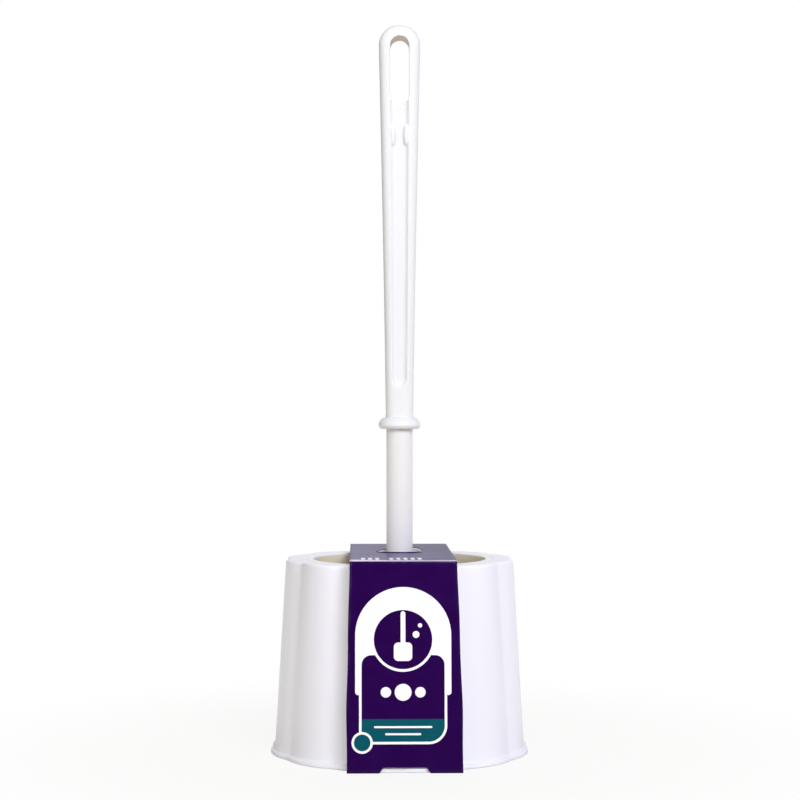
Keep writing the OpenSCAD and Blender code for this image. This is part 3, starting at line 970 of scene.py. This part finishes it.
almond = [slit_edge(side, side * (1 - 2 * k / 24)) for side in (1, -1) for k in range(24)]
slit_cut = piece_from("slit_cut", *capped([
    [(x, y, CARD_TOP_Z + past) for x, y in almond] for past in (-PAST_FACE, PAST_FACE)
]), bare_board, None)
notch_outline = rounded([
    (-NOTCH_W / 2 - NOTCH_FLARE, CARD_LOW_Z - 1, 0),
    (-NOTCH_W / 2 + NOTCH_SLOPE, CARD_LOW_Z + NOTCH_H, NOTCH_ROUND),
    (NOTCH_W / 2 - NOTCH_SLOPE, CARD_LOW_Z + NOTCH_H, NOTCH_ROUND),
    (NOTCH_W / 2 + NOTCH_FLARE, CARD_LOW_Z - 1, 0),
])
notch_cut = piece_from("notch_cut", *capped([
    [(x + CARD_SHIFT, y, z) for x, z in notch_outline] for y in (-2 * foot_y, 2 * foot_y)
]), bare_board, None)
carve(card, slit_cut, notch_cut)
lip_points, lip_faces, lip_slots = [], [], []
for side, rings in (
    (1, lip_rings(1, FAR_LIP_H, FAR_LIP_SKEW, FAR_LIP_EDGE)),
    (-1, lip_rings(-1, NEAR_LIP_H, 0, NEAR_LIP_H)),
):
    points, faces = capped(rings)
    start = len(lip_points)
    lip_points += points
    lip_faces += [tuple(start + i for i in face) for face in faces]
    corners = len(rings[0])
    bare_faces = [side > 0 and {i % corners for i in face} == {0, 1} for face in faces]
    lip_slots += [0 if bare else 1 for bare in bare_faces]
lip = piece_from("slit_lip", lip_points, lip_faces, bare_board, None)
lip.data.materials.append(card.data.materials[PLAIN])
for polygon, slot in zip(lip.data.polygons, lip_slots):
    polygon.material_index = slot
for part in (card, lip):
    part.data.transform(Matrix.Rotation(CARD_YAW, 4, "Z"))
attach(lip, "sleeve")
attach(card, "sleeve")
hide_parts("card_band")


# ---------------------------------------------------------------------------
# Room. A pale floor that runs to a pale distance and keeps a soft shadow, a plain
# room that is dimmer and warmer on the left, two soft lamps and the camera.

FLOOR_REACH = 30
FLOOR_DROP = 0.1
LAMP_SIZE = 1.6
LAMPS_AIM = (0, 0, 0.18)
CAMERA_X = 0.25
CAMERA_DISTANCE = 1016
CAMERA_HEIGHT = 182.6
CAMERA_SHIFT = 0.0075
LENS = 85.8
SENSOR_W = 36
floor_material, tree, shader = finish("pale_floor", Roughness=0.9, Base_Color=paint("d6d1c8"))
floor_corners = [(x * FLOOR_REACH, y * FLOOR_REACH, 0) for x, y in ((-1, -1), (1, -1), (1, 1), (-1, 1))]
floor_mesh = bpy.data.meshes.new("floor")
floor_mesh.from_pydata(floor_corners, [], [(0, 1, 2, 3)])
floor_mesh.materials.append(floor_material)
floor = bpy.data.objects.new("floor", floor_mesh)
floor.location.z = -FLOOR_DROP * MM
bpy.context.scene.collection.objects.link(floor)
floor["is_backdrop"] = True
direct = tree.node("ShaderNodeLightPath", {}, {}, "Is Camera Ray")
mirrored = tree.node("ShaderNodeLightPath", {}, {}, "Is Glossy Ray")
place = tree.node("ShaderNodeTexCoord", {}, {}, "Object")
away = tree.node("ShaderNodeVectorMath", {"operation": "LENGTH"}, {0: place}, "Value")
fade = rising(away, 0.09, 0.3, 0.88, 1.0)
backlit = rising(part_of(place, "Y"), -0.15, 0.15, 0.04, 0.95)
glow = tree.node("ShaderNodeEmission", {}, {"Color": (1, 1, 1, 1), "Strength": direct + mirrored * backlit})
lit = Socket(tree.tree, shader.outputs[0])
surface = tree.node("ShaderNodeMixShader", {}, {0: direct * fade + mirrored, 1: lit, 2: glow})
tree.tree.links.new(surface.output, tree.tree.nodes["Material Output"].inputs["Surface"])

world = bpy.data.worlds.new("studio")
bpy.context.scene.world = world
world.use_nodes = True
tree = Socket(world.node_tree)
background = world.node_tree.nodes["Background"]
direct = tree.node("ShaderNodeLightPath", {}, {}, "Is Camera Ray")
mirrored = tree.node("ShaderNodeLightPath", {}, {}, "Is Glossy Ray")
direction = tree.node("ShaderNodeTexCoord", {}, {}, "Generated")


def towards(x, y, z):
    """How far the looked-in direction leans towards a direction."""
    return tree.node("ShaderNodeVectorMath", {"operation": "DOT_PRODUCT"},
                     {0: direction, 1: Vector((x, y, z)).normalized()}, "Value")


side_light = rising(towards(1, 0.1, 0.35), -0.9, 0.6, 0.42, 0.56)
back_light = rising(towards(0, 0.8, 0.6), 0.2, 1.0, 0.0, 0.5)
back_wall = rising(towards(0.45, 1, 0.05), 0.6, 0.92, 0.4, 0.85)
ceiling = rising(towards(0, 0, 1), 0.2, 0.5, 1.0, 0.4)
dark_end = rising(towards(0, -1, 0.03), 0.5, 0.85, 1.0, 0.03)
dim_side = rising(towards(-1, 0.5, 0), 0.45, 0.95)
left_to_right = rising(towards(1, 0, 0), -1.0, 1.0)
room = mixed(left_to_right, paint("fffdf4"), paint("f2f1ff"))
room = mixed(dim_side, room, paint("f7ecd6"))
shown = mixed(direct, room, (1, 1, 1, 1))
reflected = mirrored * back_wall * ceiling * (1 - dim_side * 0.7)
spread = (1 - mirrored) * (side_light + back_light) * (1 - dim_side * 0.15)
strength = direct + (1 - direct) * dark_end * (reflected + spread)
world.node_tree.links.new(strength.output, background.inputs["Strength"])
world.node_tree.links.new(shown.output, background.inputs["Color"])


def lamp(name, place, power, colour):
    """A soft square lamp that faces the middle of the object."""
    light = bpy.data.lights.new(name, "AREA")
    light.size = LAMP_SIZE
    light.energy = power
    light.color = paint(colour)[:3]
    made = bpy.data.objects.new(name, light)
    made.location = place
    made.rotation_euler = (Vector(LAMPS_AIM) - Vector(place)).to_track_quat("-Z", "Y").to_euler()
    bpy.context.scene.collection.objects.link(made)


lamp("key", (1.1, -2.9, 1.8), 90, "f9fbff")
lamp("left_fill", (-1.6, -2.4, 1.2), 20, "fffefa")

camera_data = bpy.data.cameras.new("camera")
camera_data.lens = LENS
camera_data.sensor_width = SENSOR_W
camera_data.shift_y = CAMERA_SHIFT
camera = bpy.data.objects.new("camera", camera_data)
camera.location = Vector((CAMERA_X, -CAMERA_DISTANCE, CAMERA_HEIGHT)) * MM
camera.rotation_euler = (math.radians(90), 0, 0)
bpy.context.scene.collection.objects.link(camera)
bpy.context.scene.camera = camera
bpy.context.scene.view_settings.view_transform = "Standard"

low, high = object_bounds()
